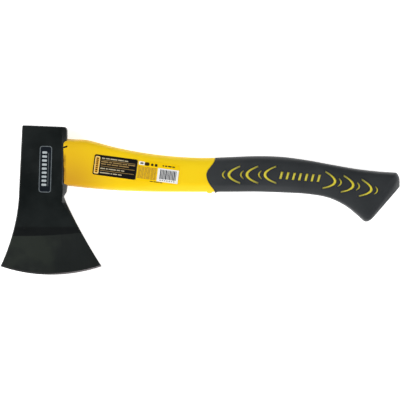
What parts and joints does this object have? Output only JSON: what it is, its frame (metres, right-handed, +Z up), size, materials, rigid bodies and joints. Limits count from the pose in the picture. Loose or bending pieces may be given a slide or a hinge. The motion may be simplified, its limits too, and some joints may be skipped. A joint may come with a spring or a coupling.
{
  "type": "hand axe",
  "caption": "Small one-handed hand axe lying on its side: forged black head, yellow fibreglass-cored handle and black rubber grip with yellow crescents.",
  "frame": {"origin": "under the centre of the whole outline, on the surface that the axe lies on", "axes": "+X along the handle from the head to the butt, +Y towards the poll, +Z up through the thickness"},
  "size_m": [0.382, 0.143, 0.024],
  "materials": {
    "head_steel": "satin black lacquer over forged steel, bare steel at the honed edge",
    "badge_print": "dark printed badge with a silver-grey outline and plain bars",
    "resin": "cured amber resin, slightly uneven",
    "glass_fibre": "pultruded glass fibre",
    "jacket_yellow": "moulded yellow plastic with a fine grain",
    "label_film": "printed film label",
    "grip_rubber": "matt black moulded rubber",
    "inlay_yellow": "matt yellow moulded plastic"
  },
  "bodies": {
    "root": {"axe_head": "head_steel", "head_badge": "badge_print", "eye_resin": "resin", "core_rod": "glass_fibre", "handle_jacket": "jacket_yellow", "handle_label": "label_film", "grip_sleeve": "grip_rubber", "large_crescents_fore_top": "inlay_yellow", "small_crescents_fore_top": "inlay_yellow", "large_crescents_aft_top": "inlay_yellow", "small_crescents_aft_top": "inlay_yellow", "mark_bars_top": "inlay_yellow", "large_crescents_fore_under": "inlay_yellow", "small_crescents_fore_under": "inlay_yellow", "large_crescents_aft_under": "inlay_yellow", "small_crescents_aft_under": "inlay_yellow", "mark_bars_under": "inlay_yellow"}
  },
  "joints": []
}
